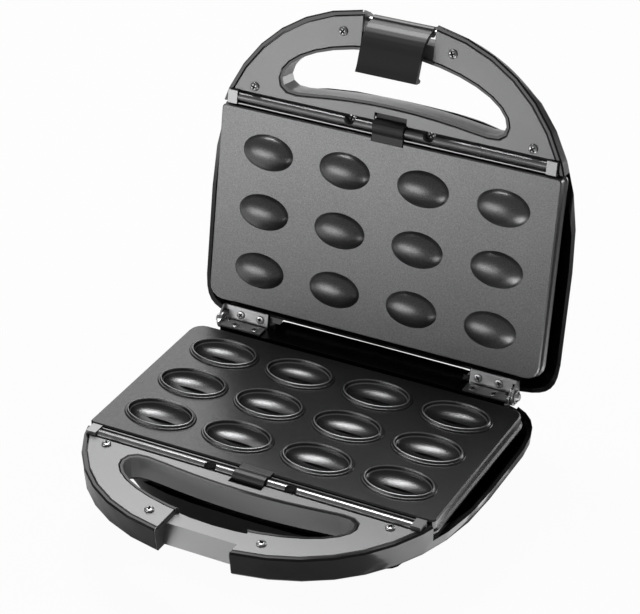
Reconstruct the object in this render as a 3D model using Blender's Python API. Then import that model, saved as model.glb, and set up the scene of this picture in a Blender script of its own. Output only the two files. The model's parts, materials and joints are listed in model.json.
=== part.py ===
# Countertop cooker with a hinged lid, two lift-out moulded plates and a swinging latch.
# Every half-part is drawn in the base's frame: x to the right, y to the back, z up,
# with z = 0 on the top face of the lower plate. The lid's parts use the same drawing,
# turned over onto the other side of the parting gap.

import math

import bmesh
import bpy
from mathutils import Matrix, Vector

for old in list(bpy.data.objects):
    bpy.data.objects.remove(old, do_unlink=True)

# Driving dimensions

plate_depth = 0.130
plate_side_gap = 0.0094
parting_gap = 0.0038
wall = 0.0024
fit = 0.0003
overrun = 0.004
body_half_width = 0.1244
plate_width = (body_half_width - plate_side_gap) * 2
body_centre_y = -0.005
front_reach = 0.138
base_rear_reach = 0.098
lid_rear_reach = 0.085
cover_drop = 0.002
side_rim_drop = 0.012
handle_bottom = 0.0185
body_bottom = 0.049
hinge_y = 0.0767
hinge_z = 0.0003
open_angle = math.radians(100.25)
front_y = body_centre_y - front_reach

# Curve shapes and counts

front_power = 2.32
base_rear_power = 5.2
lid_rear_power = 11.0
bowl_power = 3.0
outline_count = 40
round_count = 16
screw_count = 10

# Colours, as linear light

ink = (0.012, 0.012, 0.013)
satin_black = (0.02, 0.02, 0.021)
cover_grey = (0.045, 0.045, 0.047)
plate_grey = (0.035, 0.035, 0.037)
bright_steel = (0.55, 0.54, 0.52)
dull_aluminium = (0.6, 0.6, 0.6)
rubber_black = (0.015, 0.015, 0.015)
lens_red = (0.5, 0.02, 0.015)
lens_green = (0.03, 0.35, 0.06)


def material(name, colour, roughness, metallic):
    made = bpy.data.materials.new(name)
    made.use_nodes = True
    shader = made.node_tree.nodes["Principled BSDF"]
    shader.inputs["Base Color"].default_value = (*colour, 1)
    shader.inputs["Roughness"].default_value = roughness
    shader.inputs["Metallic"].default_value = metallic
    return made


shell_plastic = material("shell_plastic", satin_black, 0.22, 0)
cover_plastic = material("cover_plastic", cover_grey, 0.4, 0)
rail_plastic = material("rail_plastic", ink, 0.12, 0)
slide_plastic = material("slide_plastic", ink, 0.45, 0)
latch_plastic = material("latch_plastic", satin_black, 0.15, 0)
plate_coating = material("plate_coating", plate_grey, 0.42, 0.6)
hinge_steel = material("hinge_steel", bright_steel, 0.3, 1)
screw_steel = material("screw_steel", bright_steel, 0.28, 1)
pan_aluminium = material("pan_aluminium", dull_aluminium, 0.35, 1)
heater_metal = material("heater_metal", plate_grey, 0.5, 1)
foot_rubber = material("foot_rubber", rubber_black, 0.8, 0)
lamp_red = material("lamp_red", lens_red, 0.1, 0)
lamp_green = material("lamp_green", lens_green, 0.1, 0)

# Frames: the whole part, the lid on its hinge axis, the latch on its pin

room = bpy.context.scene.collection


def empty(name, parent, place, turn=0):
    made = bpy.data.objects.new(name, None)
    room.objects.link(made)
    made.parent = parent
    made.location = place
    made.rotation_euler = (turn, 0, 0)
    return made


# Ways of making a solid

def finish(name, shape, sharp=30):
    """A mesh object from a bmesh, faces outward, smooth but for its sharp edges."""
    bmesh.ops.remove_doubles(shape, verts=shape.verts, dist=fit * weld_share)
    bmesh.ops.recalc_face_normals(shape, faces=shape.faces)
    mesh = bpy.data.meshes.new(name)
    shape.to_mesh(mesh)
    shape.free()
    mesh.shade_smooth()
    mesh.set_sharp_from_angle(angle=math.radians(sharp))
    made = bpy.data.objects.new(name, mesh)
    room.objects.link(made)
    return made


weld_share = 0.01


def loft(name, rings, sharp=30):
    """Skin closed rings of equal count in order, and cap both ends."""
    shape = bmesh.new()
    rows = [[shape.verts.new(point) for point in ring] for ring in rings]
    count = len(rows[0])
    for low, high in zip(rows, rows[1:]):
        for i in range(count):
            j = (i + 1) % count
            shape.faces.new((low[i], low[j], high[j], high[i]))
    shape.faces.new(rows[0])
    shape.faces.new(rows[-1])
    return finish(name, shape, sharp)


def prism(name, outline, low, high):
    """An upright prism on an outline of (x, y) points."""
    return loft(name, [[(x, y, z) for x, y in outline] for z in (low, high)])


def bar(name, profile, left, right):
    """A bar along x with a profile of (y, z) points."""
    return loft(name, [[(x, y, z) for y, z in profile] for x in (left, right)])


def box(name, x_span, y_span, z_span):
    left, right = x_span
    front, back = y_span
    corners = [(left, front), (right, front), (right, back), (left, back)]
    return prism(name, corners, *z_span)


def circle(radius, count=round_count):
    turns = [math.tau * i / count for i in range(count)]
    return [(radius * math.cos(turn), radius * math.sin(turn)) for turn in turns]


def turned(name, profile, place, axis="Z", count=round_count, sharp=30):
    """A turned piece from (radius, height) points; its first and last rings are capped."""
    rings = [[Vector((x, y, height)) for x, y in circle(radius, count)] for radius, height in profile]
    made = loft(name, rings, sharp)
    if axis == "X":
        made.data.transform(Matrix.Rotation(math.pi / 2, 4, "Y"))
    if axis == "Y":
        made.data.transform(Matrix.Rotation(-math.pi / 2, 4, "X"))
    made.data.transform(Matrix.Translation(place))
    return made


def combine(target, tool, operation, keep=False):
    """Apply one exact Boolean to the target's own mesh."""
    step = target.modifiers.new(operation.lower(), "BOOLEAN")
    step.operation = operation
    step.solver = "EXACT"
    step.object = tool
    bpy.context.view_layer.update()
    graph = bpy.context.evaluated_depsgraph_get()
    result = bpy.data.meshes.new_from_object(target.evaluated_get(graph))
    target.modifiers.remove(step)
    spent = target.data
    target.data = result
    bpy.data.meshes.remove(spent)
    if not keep:
        bpy.data.objects.remove(tool, do_unlink=True)
    return target


def cut(target, tool, keep=False):
    return combine(target, tool, "DIFFERENCE", keep)


def join(target, tool, keep=False):
    return combine(target, tool, "UNION", keep)


def place_piece(piece, paint, frame, sharp=30):
    """Give a finished piece its material, shading and frame."""
    piece.data.materials.clear()
    piece.data.materials.append(paint)
    piece.data.shade_smooth()
    piece.data.set_sharp_from_angle(angle=math.radians(sharp))
    piece.parent = frame
    return piece


def turn_over(piece):
    """Turn a half-part drawn in the base's frame onto the lid's side of the gap."""
    piece.data.transform(Matrix.Rotation(math.pi, 4, "Y"))
    piece.data.transform(Matrix.Translation((0, 0, parting_gap)))
    return piece


# Outlines

def signed_power(value, power):
    return math.copysign(abs(value) ** power, value)


def egg(half_width, front, rear, power_front, power_rear, height, inset=0):
    """A ring whose front and rear halves are superellipses of their own."""
    ring = []
    for i in range(outline_count):
        turn = math.tau * i / outline_count
        power, reach = (power_rear, rear) if math.sin(turn) > 0 else (power_front, front)
        x = (half_width - inset) * signed_power(math.cos(turn), 2 / power)
        y = body_centre_y + (reach - inset) * signed_power(math.sin(turn), 2 / power)
        ring.append((x, y, height))
    return ring


hole_half_width = 0.0755
hole_y = -0.089
handle_bar = 0.0242
hole_front_reach = hole_y - front_y - handle_bar
hole_front_power = 1.88
hole_middle_reach = 0.0024
hole_shoulder_reach = 0.0054
hole_end_power = 12
hole_shoulder_share = 0.85
hole_steps = 16


def hole_ring(height, offset):
    """The finger hole: a curved front edge, a bowed back edge and round ends."""
    half = hole_half_width + offset
    shoulder = hole_half_width * hole_shoulder_share
    front, back = [], []
    for i in range(hole_steps + 1):
        share = math.cos(math.pi * i / hole_steps)
        across = max(0, 1 - abs(share) ** hole_front_power)
        depth = (hole_front_reach + offset) * across ** (1 / hole_front_power)
        front.append((half * share, hole_y - depth))
    for i in range(1, hole_steps):
        share = -math.cos(math.pi * i / hole_steps)
        bow = hole_middle_reach + hole_shoulder_reach * (half * share / shoulder) ** 2
        ending = math.sqrt(max(0, 1 - abs(share) ** hole_end_power))
        back.append((half * share, hole_y + (bow + offset) * ending))
    return [(x, y, height) for x, y in front + back]


# Housings: a skirt under the rim, which is also the handle, joined to a deep bowl

base_skirt_profile = (
    (cover_drop, 0.0008, 0.0008, 0.0008),
    (0.0032, 0, 0, 0),
    (side_rim_drop, 0.0012, 0, 0),
    (0.0170, 0.0018, 0.0002, 0.0012),
    (handle_bottom, 0.0030, 0.0012, 0.0030),
)
lid_skirt_profile = (
    (cover_drop, 0.0008, 0.0008, 0.0008),
    (0.0032, 0, 0, 0),
    (side_rim_drop, 0.0032, 0, 0),
    (0.0170, 0.0060, 0.0050, 0.0012),
    (handle_bottom, 0.0088, 0.0080, 0.0030),
)
bowl_profile = (
    (0.0150, 0.0056, 0.0813, 0.0028),
    (handle_bottom, 0.0061, 0.0810, 0.0022),
    (0.0300, 0.0149, 0.0775, 0.0045),
    (0.0430, 0.0244, 0.0735, 0.0075),
    (0.0475, 0.0289, 0.0700, 0.0110),
    (body_bottom, 0.0344, 0.0650, 0.0160),
)
hollow_profile = (
    (-overrun, 0, 0.0815, 0),
    (side_rim_drop, 0, 0.0815, 0),
    (0.0160, 0.0034, 0.0813, 0.0011),
    (handle_bottom, 0.0061, 0.0810, 0.0022),
    (0.0300, 0.0149, 0.0775, 0.0045),
    (0.0430, 0.0244, 0.0735, 0.0075),
    (body_bottom - wall, 0.0295, 0.0690, 0.0115),
)
step_y = -0.0668
ledge_drop = 0.0039
ledge_width = 0.0030
handle_floor = 0.0161
handle_floor_round = 0.0016
floor_round_inset = 0.0036
liner_width = 0.0017
liner_drop = 0.0023
hole_flare = 0.0020
hole_flare_height = 0.0020

notch_half_width = 0.024
notch_depth = 0.0260
notch_shelf_drop = 0.0055
notch_lean = 0.0056
lid_notch_depth = 0.0150
block_foot_depth = 0.0068
block_top_depth = 0.0038
hook_depth = 0.0096
hook_width = 0.0034
hook_drop = 0.0168
notch_back_y = front_y + notch_depth
hook_y = front_y + hook_depth
notch_slope = notch_lean / (handle_bottom - notch_shelf_drop)
base_notch_top_y = hook_y + notch_slope * (hook_drop - notch_shelf_drop)
lid_notch_y = front_y + lid_notch_depth
notch_block_foot_y = front_y + block_foot_depth
notch_block_top_y = front_y + block_top_depth

deck_front_y = 0.0685
deck_half_width = 0.066
deck_skin = 0.0003
deck_step_y = 0.0775
deck_cut_drop = 0.014
hinge_half_width = 0.0995
hinge_deck_drop = 0.0006
ear_room = 0.0025
lid_wall_y = 0.067
lid_ear_y = 0.079
rebate_drop = 0.016

rail_end_gap = 0.0040
rail_half_width = plate_width / 2 - rail_end_gap
rail_block_front_y = -0.0750
shelf_drop = 0.0083
shelf_half_width = 0.104
shelf_back_y = -0.0673
shelf_front_y = -0.0845

pillar_x = 0.080
pillar_y = 0.038
pillar_radius = 0.0045
pillar_drop = 0.02215

foot_radius = 0.009
foot_height = 0.008
foot_boss_margin = 0.001
foot_boss_drop = 0.003
foot_boss_rise = 0.020
rear_foot = (0.092, 0.063)
front_foot = (0.074, -0.040)

shank_radius = 0.0012
boss_radius = 0.0040
front_screw_depth = 0.0167
cover_screws = ((0.094, -0.0795), (0.0365, front_y + front_screw_depth))
rail_screw = (0.0268, -0.0730)
hinge_screws = ((0.0765, 0.0722), (0.0905, 0.0722))
bore_depth = 0.0095
boss_drop = 0.0145

gland_x = 0
gland_drop = 0.030
gland_bore_radius = 0.0058

latch_pin_depth = 0.0080
latch_pin_y = front_y + latch_pin_depth
latch_pin_height = 0.013
latch_pin_radius = 0.0015


def egg_rings(profile, rear_reach, rear_power, trim=0, own_front=False):
    """Rings of the housing's outline, inset by direction at each depth."""
    rings = []
    for drop, first, second, third in profile:
        if own_front:
            side, front, rear = first, second - trim, third
        else:
            side, front, rear = second, front_reach - first - trim, third
        power = bowl_power if own_front else front_power
        half_width = body_half_width - side - trim
        rings.append(egg(half_width, front, rear_reach - rear - trim, power, rear_power, -drop))
    return rings


def mirrored_pairs(places):
    return [(side * x, y) for x, y in places for side in (-1, 1)]


def bored(shell, place, top, reach):
    """Sink a screw's bore into the shell from a height above its boss."""
    profile = ((shank_radius + fit, -top - reach), (shank_radius + fit, overrun - top))
    return cut(shell, turned("bore", profile, (*place, 0), count=screw_count))


def housing(name, rear_reach, rear_power, is_lid):
    skirt = lid_skirt_profile if is_lid else base_skirt_profile
    shell = loft(name, egg_rings(skirt, rear_reach, rear_power))
    join(shell, loft("bowl", egg_rings(bowl_profile, rear_reach, rear_power, 0, True)))
    cut(shell, loft("hollow", egg_rings(hollow_profile, rear_reach, rear_power, wall, True)))

    floor_inset = wall + floor_round_inset
    inside = (
        (handle_floor, floor_inset + floor_round_inset),
        (handle_floor - handle_floor_round, floor_inset),
        (ledge_drop, wall + ledge_width),
        (ledge_drop, wall),
        (-overrun, wall),
    )
    rings = []
    for drop, inset in inside:
        rings.append(egg(body_half_width, front_reach, rear_reach, front_power, rear_power, -drop, inset))
    cut(shell, loft("handle_hollow", rings))

    wide = body_half_width + overrun
    cut(shell, box("side_step", (-wide, wide), (step_y, base_rear_reach), (-side_rim_drop, overrun)))

    room_half = rail_half_width + fit
    room_depth = (rail_block_front_y - fit, step_y + fit)
    cut(shell, box("rail_room", (-room_half, room_half), room_depth, (-shelf_drop, overrun)))

    low = -handle_floor - fit
    join(shell, loft("liner", [hole_ring(low, liner_width), hole_ring(-liner_drop, liner_width)]))
    block_side = notch_half_width + wall
    ledge = -ledge_drop
    back = notch_back_y
    block = ((back, low), (back, ledge), (notch_block_top_y, ledge), (notch_block_foot_y, low))
    join(shell, bar("notch_block", block, -block_side, block_side))
    half = shelf_half_width
    shelf_heights = (-shelf_drop - wall, -shelf_drop)
    join(shell, box("shelf", (-half, half), (shelf_front_y, shelf_back_y), shelf_heights))
    pillars = ((pillar_x, pillar_y), (pillar_x, -pillar_y))
    stands = (
        ("boss", cover_screws, boss_radius, low, ledge),
        ("boss", (rail_screw,), boss_radius, -boss_drop, -shelf_drop),
        ("pillar", pillars, pillar_radius, fit - body_bottom, -pillar_drop),
    )
    for kind, places, radius, bottom, top in stands:
        for place in mirrored_pairs(places):
            join(shell, turned(kind, ((radius, bottom), (radius, top)), (*place, 0), count=screw_count))

    if is_lid:
        add_lid_back(shell)
        ahead = front_y - overrun
        low = -body_bottom
        notch = ((lid_notch_y, overrun), (lid_notch_y, low), (ahead, low), (ahead, overrun))
    else:
        add_base_back(shell)
        add_foot_bosses(shell)
        low = -handle_bottom - overrun
        notch = (
            (notch_back_y, overrun),
            (notch_back_y, -notch_shelf_drop),
            (base_notch_top_y, -notch_shelf_drop),
            (hook_y, -hook_drop),
            (hook_y + hook_width, -hook_drop),
            (hook_y + hook_width, low),
            (front_y - overrun, low),
            (front_y - overrun, overrun),
        )
    cut(shell, bar("notch", notch, -notch_half_width, notch_half_width))

    flare_top = -handle_bottom + hole_flare_height
    flare = hole_ring(-handle_bottom - overrun, hole_flare * 2)
    cut(shell, loft("hole", [flare, hole_ring(flare_top, 0), hole_ring(overrun, 0)]))
    for place in mirrored_pairs(cover_screws):
        bored(shell, place, ledge_drop, bore_depth)
    for place in mirrored_pairs((rail_screw,)):
        bored(shell, place, shelf_drop, bore_depth - boss_radius)
    for place in mirrored_pairs(hinge_screws):
        bored(shell, place, hinge_deck_drop, bore_depth)
    return shell


def add_base_back(shell):
    """The raised deck behind the lower plate, and the stands for the hinges."""
    rim = egg(body_half_width, front_reach, base_rear_reach, front_power, base_rear_power, 0, deck_skin)
    arc = [(x, y) for x, y, _ in rim if y > deck_front_y + wall and abs(x) < hinge_half_width]
    arc.sort()
    half = hinge_half_width
    behind_front = [(x, y) for x, y, _ in rim if y > deck_front_y]
    end_y = min(behind_front, key=lambda point: abs(abs(point[0]) - half))[1]
    plan = [(-half, deck_front_y), (-half, end_y), *arc, (half, end_y), (half, deck_front_y)]
    deck = prism("deck", plan, -handle_floor - wall, 0)
    behind = base_rear_reach
    low = -handle_floor - wall - overrun
    inner_y = deck_front_y + wall
    inner_back_y = body_centre_y + base_rear_reach - wall * 2
    inner_half = deck_half_width - wall
    cut(deck, box("deck_hollow", (-inner_half, inner_half), (inner_y, inner_back_y), (low, -wall)))
    for side in (-1, 1):
        near, far = sorted((side * deck_half_width, side * (hinge_half_width + ear_room)))
        cut(deck, box("ear_room", (near, far), (deck_step_y, behind), (-deck_cut_drop, overrun)))
        seat_depth = (deck_front_y - overrun, behind)
        cut(deck, box("hinge_seat", (near, far), seat_depth, (-hinge_deck_drop, overrun)))
    join(shell, deck)
    for side in (-1, 1):
        near, far = sorted((side * deck_half_width, side * (hinge_half_width + ear_room)))
        cut(shell, box("rim_room", (near, far), (deck_step_y, behind), (-deck_cut_drop, overrun)))
    bore = ((gland_bore_radius, 0), (gland_bore_radius, base_rear_reach))
    cut(shell, turned("gland_bore", bore, (gland_x, pillar_y, -gland_drop), "Y"))


def add_lid_back(shell):
    """The rebate that clears the base's deck, and the ears that carry the hinges."""
    low = -rebate_drop - wall
    back_y = body_centre_y + lid_rear_reach - deck_skin
    plan_half = hinge_half_width
    back = box("back", (-plan_half, plan_half), (lid_wall_y, back_y), (low, 0))
    half = deck_half_width
    rebate = ((-half, half), (lid_wall_y + wall, back_y + overrun), (-rebate_drop, overrun))
    cut(back, box("rebate", *rebate))
    for side in (-1, 1):
        near, far = sorted((side * half, side * (hinge_half_width + overrun)))
        ear_depth = (lid_wall_y - overrun, back_y + overrun)
        cut(back, box("ear_top", (near, far), ear_depth, (-hinge_deck_drop, overrun)))
        cut(back, box("ear_back", (near, far), (lid_ear_y, back_y + overrun), (-side_rim_drop, overrun)))
    join(shell, back)
    cut(shell, box("rebate_room", *rebate))
    pin_hole = latch_pin_radius + fit
    reach = notch_half_width + wall + fit
    bore = ((pin_hole, -reach), (pin_hole, reach))
    place = (0, latch_pin_y, parting_gap - latch_pin_height)
    cut(shell, turned("pin_bore", bore, place, "X", screw_count))


def add_foot_bosses(shell):
    radius = foot_radius + foot_boss_margin
    bottom = -body_bottom - foot_boss_drop
    boss = ((radius, bottom), (radius, bottom + foot_boss_rise))
    for place in mirrored_pairs((rear_foot, front_foot)):
        join(shell, turned("foot_boss", boss, (*place, 0)))


root = empty("cooker", None, (0, 0, 0))
lid_frame = empty("lid_hinge_axis", root, (0, hinge_y, hinge_z), -open_angle)


def to_lid(piece, paint, sharp=30):
    """Turn a finished half-part over and hang it on the lid's hinge axis."""
    turn_over(piece)
    piece.data.transform(Matrix.Translation((0, -hinge_y, -hinge_z)))
    return place_piece(piece, paint, lid_frame, sharp)


base_shell = housing("base_shell", base_rear_reach, base_rear_power, False)
place_piece(base_shell, shell_plastic, root)
lid_shell = housing("lid_shell", lid_rear_reach, lid_rear_power, True)
to_lid(lid_shell, shell_plastic)

# Handle covers: a horseshoe plate round the finger hole, let into the rim

cover_thickness = 0.0016
cover_inset = 0.0031
cover_edge = 0.0005
cover_back_y = -0.0755
cover_hole_margin = 0.0023
cover_notch_gap = 0.0015
cover_notch_y = notch_back_y - cover_notch_gap
slide_half_width = 0.0104
slide_room = 0.0006
slide_front_y = -0.0796
slide_cut_y = -0.0803


def handle_cover(name, rear_reach, rear_power):
    drops = ((cover_drop + cover_thickness, 0), (cover_drop + cover_edge, 0), (cover_drop, cover_edge))
    rings = [
        egg(body_half_width, front_reach, rear_reach, front_power, rear_power, -drop, cover_inset + inset)
        for drop, inset in drops
    ]
    cover = loft(name, rings)
    low = -cover_drop - cover_thickness - overrun
    wide = body_half_width + overrun
    cut(cover, box("back_cut", (-wide, wide), (cover_back_y, base_rear_reach), (low, overrun)))
    edge = cover_hole_margin + cover_edge
    cutters = [
        hole_ring(low, cover_hole_margin),
        hole_ring(-cover_drop - cover_edge, cover_hole_margin),
        hole_ring(-cover_drop, edge),
        hole_ring(overrun, edge),
    ]
    cut(cover, loft("hole", cutters))
    half = notch_half_width + fit
    cut(cover, box("notch", (-half, half), (-front_reach - overrun * 3, cover_notch_y), (low, overrun)))
    half = slide_half_width + slide_room
    cut(cover, box("slide_cut", (-half, half), (slide_cut_y, base_rear_reach), (low, overrun)))
    for place in mirrored_pairs(cover_screws):
        bored(cover, place, 0, ledge_drop)
    return cover


place_piece(handle_cover("base_handle_cover", base_rear_reach, base_rear_power), cover_plastic, root)
to_lid(handle_cover("lid_handle_cover", lid_rear_reach, lid_rear_power), cover_plastic)

# Rails between plate and cover: a rod and a lip on a strip, with end blocks

rail_rod_y = -0.0710
rail_rod_radius = 0.0028
rail_strip_top = 0.0064
rail_strip_bottom = 0.0080
rail_strip_front_y = -0.0770
rail_lip_front_y = -0.0672
rail_lip_back_y = -0.0666
rail_lip_drop = 0.0008
rail_block_half_width = 0.1045
rail_block_rise = 0.0006
rail_head_room = 0.0038
rail_arc_count = 8


def rail(name):
    rod = []
    for i in range(rail_arc_count + 1):
        turn = math.pi * i / rail_arc_count
        rod.append((rail_rod_y - rail_rod_radius * math.cos(turn), rail_rod_radius * (math.sin(turn) - 1)))
    strip_y = rail_rod_y - rail_rod_radius
    lip_y = rail_rod_y + rail_rod_radius
    profile = [
        (rail_lip_back_y, -rail_strip_bottom),
        (rail_strip_front_y, -rail_strip_bottom),
        (rail_strip_front_y, -rail_strip_top),
        (strip_y, -rail_strip_top),
        *rod,
        (lip_y, -rail_strip_top),
        (rail_lip_front_y, -rail_strip_top),
        (rail_lip_front_y, -rail_lip_drop),
        (rail_lip_back_y, -rail_lip_drop),
    ]
    made = bar(name, profile, -rail_block_half_width - fit, rail_block_half_width + fit)
    for side in (-1, 1):
        near, far = sorted((side * rail_block_half_width, side * rail_half_width))
        block_depth = (rail_block_front_y, rail_lip_back_y)
        block = box("block", (near, far), block_depth, (-rail_strip_bottom, rail_block_rise))
        join(made, block)
    half = slide_half_width + slide_room
    gap_depth = (cover_back_y, -plate_depth / 2)
    cut(made, box("slide_gap", (-half, half), gap_depth, (-rail_strip_top, overrun)))
    for place in mirrored_pairs(cover_screws[:1]):
        room_radius = boss_radius + fit
        boss_room = ((room_radius, -body_bottom), (room_radius, -cover_drop))
        cut(made, turned("boss_room", boss_room, (*place, 0)))
    for place in mirrored_pairs((rail_screw,)):
        profile = ((rail_head_room, -rail_strip_top), (rail_head_room, overrun))
        cut(made, turned("head_room", profile, (*place, 0)))
        bored(made, place, rail_strip_bottom, overrun)
    return made


place_piece(rail("lower_plate_rail"), rail_plastic, root)
to_lid(rail("upper_plate_rail"), rail_plastic)

# Baking plates: a pan-edged slab with raised cups below and plain domes above

plate_corner_rear = 0.0090
plate_corner_front = 0.0030
corner_steps = 4
plate_thickness = 0.0024
plate_skirt = 0.0016
plate_height = 0.0080
plate_flange = 0.0012
plate_flange_height = 0.0012
plate_edge = 0.0008
plate_notch_y = -0.0624
plate_notch_drop = 0.0025
columns = 4
rows = 3
column_pitch = 0.05345
row_pitch = 0.03944

cup_rim_height = 0.0022
cup_step = (0.02325, 0.0155)
cup_rim = (0.0221, 0.01445)
cup_lip = (0.0215, 0.0138)
cup_step_height = 0.0009
cup_bowl = (0.0200, 0.0126, 0.0098)
cup_skin = 0.0015
cup_count = 16
bowl_rings = 3
bowl_start = 0.35
ridge_half_length = 0.0150
ridge_half_width = 0.0050
ridge_height = 0.0026

dome_foot = (0.0172, 0.0124)
dome_height = 0.0075
dome_shares = ((0, 1), (0.14, 0.95), (0.5, 0.85), (0.84, 0.57), (1, 0.18))
dome_skin = 0.0020
dome_hollow_shares = ((0, 1), (0.6, 0.8), (1, 0.3))
dome_count = 14
hollow_count = 8


def plate_ring(height, inset):
    """A rounded rectangle with larger corners at the rear."""
    half_x = plate_width / 2 - inset
    half_y = plate_depth / 2 - inset
    ring = []
    for quarter, (sign_x, sign_y) in enumerate(((1, 1), (-1, 1), (-1, -1), (1, -1))):
        corner = plate_corner_rear if sign_y > 0 else plate_corner_front
        radius = max(corner - inset, fit)
        for i in range(corner_steps + 1):
            turn = math.pi / 2 * (quarter + i / corner_steps)
            x = sign_x * (half_x - radius) + radius * math.cos(turn)
            y = sign_y * (half_y - radius) + radius * math.sin(turn)
            ring.append((x, y, height))
    return ring


def oval_ring(size, centre, height, count, turn=0):
    return [(centre[0] + size[0] * x, centre[1] + size[1] * y, height) for x, y in circle(1, count)]


def plate_slab(name):
    flange_top = -plate_height + plate_flange_height
    rings = [
        plate_ring(0, plate_edge),
        plate_ring(-plate_edge, 0),
        plate_ring(flange_top + plate_flange, 0),
        plate_ring(flange_top, -plate_flange),
        plate_ring(-plate_height, -plate_flange),
        plate_ring(-plate_height, plate_skirt),
        plate_ring(-plate_thickness, plate_skirt),
    ]
    slab = loft(name, rings)
    half = slide_half_width + slide_room
    under = -plate_notch_drop
    shelf_depth = (plate_skirt / 2 - plate_depth / 2, plate_notch_y + wall)
    shelf = box("notch_shelf", (-half - wall, half + wall), shelf_depth, (under - plate_skirt, under + fit))
    join(slab, shelf)
    cut(slab, box("notch", (-half, half), (-plate_depth / 2 - overrun, plate_notch_y), (under, overrun)))
    return slab


def grid():
    for column in range(columns):
        for row in range(rows):
            yield (column_pitch * (column - (columns - 1) / 2), row_pitch * (row - (rows - 1) / 2))


def cupped_plate(name):
    plate = plate_slab(name)
    inside = -plate_thickness / 2
    for centre in grid():
        shape = [
            (cup_step, inside),
            (cup_step, cup_step_height),
            (cup_rim, cup_step_height),
            (cup_lip, cup_rim_height),
        ]
        join(plate, loft("rim", [oval_ring(size, centre, height, cup_count) for size, height in shape]))
        body = []
        for share in (1, 0.7):
            across = math.sqrt(1 - share**2) if share < 1 else plate_thickness / cup_bowl[0]
            depth = (cup_bowl[2] + cup_skin) * share
            half = ((cup_bowl[0] + cup_skin) * across, (cup_bowl[1] + cup_skin) * across)
            body.append((half, -depth))
        body.append((cup_rim, inside))
        join(plate, loft("cup", [oval_ring(size, centre, height, screw_count) for size, height in body]))
    for x, y in grid():
        rings = []
        for i in range(bowl_rings):
            turn = math.pi / 2 * (i + bowl_start) / bowl_rings
            size = (cup_bowl[0] * math.sin(turn), cup_bowl[1] * math.sin(turn))
            rings.append(oval_ring(size, (x, y), -cup_bowl[2] * math.cos(turn), cup_count))
        rings.append(oval_ring(cup_bowl, (x, y), 0, cup_count))
        rings.append(oval_ring(cup_bowl, (x, y), overrun, cup_count))
        bowl = loft("bowl", rings)
        cut(bowl, seam_ridge((x, y)))
        cut(plate, bowl)
    return plate


def seam_ridge(centre):
    """A sharp ridge along the cup's floor that marks the seam of what is baked in it."""
    low, high = [], []
    for share in (-1, -0.5, 0, 0.5, 1):
        x = centre[0] + ridge_half_length * share
        bowed = 1 - share**2
        low.append((x, bowed * ridge_half_width))
        bed = -cup_bowl[2] * math.sqrt(1 - (ridge_half_length * share / cup_bowl[0]) ** 2)
        high.append((x, bed + ridge_height * bowed))
    shape = bmesh.new()
    under = -cup_bowl[2] - overrun / 2
    crest = [shape.verts.new((x, centre[1], height)) for x, height in high]
    sides = []
    for side in (-1, 1):
        sides.append([shape.verts.new((x, centre[1] + side * (half + fit), under)) for x, half in low])
    for i in range(len(low) - 1):
        shape.faces.new((sides[0][i], sides[0][i + 1], crest[i + 1], crest[i]))
        shape.faces.new((sides[1][i], sides[1][i + 1], crest[i + 1], crest[i]))
        shape.faces.new((sides[0][i], sides[0][i + 1], sides[1][i + 1], sides[1][i]))
    for end in (0, -1):
        shape.faces.new((sides[0][end], sides[1][end], crest[end]))
    return finish("ridge", shape)


def domed_plate(name):
    plate = plate_slab(name)
    for centre in grid():
        rings = [oval_ring(dome_foot, centre, -plate_thickness / 2, dome_count)]
        for height, share in dome_shares:
            size = (dome_foot[0] * share, dome_foot[1] * share)
            rings.append(oval_ring(size, centre, dome_height * height, dome_count))
        join(plate, loft("dome", rings))
    room = (dome_foot[0] - dome_skin, dome_foot[1] - dome_skin)
    for centre in grid():
        rings = [oval_ring(room, centre, -plate_thickness - overrun, hollow_count)]
        for height, share in dome_hollow_shares:
            size = (room[0] * share, room[1] * share)
            rings.append(oval_ring(size, centre, (dome_height - dome_skin) * height, hollow_count))
        cut(plate, loft("dome_hollow", rings))
    return plate


place_piece(cupped_plate("lower_plate"), plate_coating, root, 40)
to_lid(domed_plate("upper_plate"), plate_coating, 40)

# Reflector pans, heating elements and the thermostat

pan_lip_gap = 0.0015
pan_lip_half_width = plate_width / 2 - pan_lip_gap
pan_lip_half_depth = plate_depth / 2 - pan_lip_gap
pan_lip_drop = 0.0083
pan_flange_drop = 0.0108
pan_floor_drop = 0.02105
pan_side_margin = 0.0170
pan_end_margin = 0.0150
pan_half_width = plate_width / 2 - pan_side_margin
pan_half_depth = plate_depth / 2 - pan_end_margin
pan_floor_inset = 0.0050
pan_corner = 0.0160
pan_sheet = 0.0010
pan_corner_steps = 4

heater_radius = 0.00325
heater_sides = 8
heater_margin = 0.020
heater_half_width = pan_half_width - heater_margin
heater_half_depth = pan_half_depth - heater_margin
heater_bend = 0.020
heater_bend_steps = 5
heater_gap_half = 0.016
heater_tail_drop = 0.0300
heater_hole_radius = 0.0048

thermostat_radius = 0.0080
thermostat_height = 0.0085
thermostat_x = 0.040


def pan_ring(half_x, half_y, radius, drop):
    ring = []
    for quarter, (sign_x, sign_y) in enumerate(((1, 1), (-1, 1), (-1, -1), (1, -1))):
        for i in range(pan_corner_steps + 1):
            turn = math.pi / 2 * (quarter + i / pan_corner_steps)
            x = sign_x * (half_x - radius) + radius * math.cos(turn)
            y = sign_y * (half_y - radius) + radius * math.sin(turn)
            ring.append((x, y, -drop))
    return ring


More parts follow.
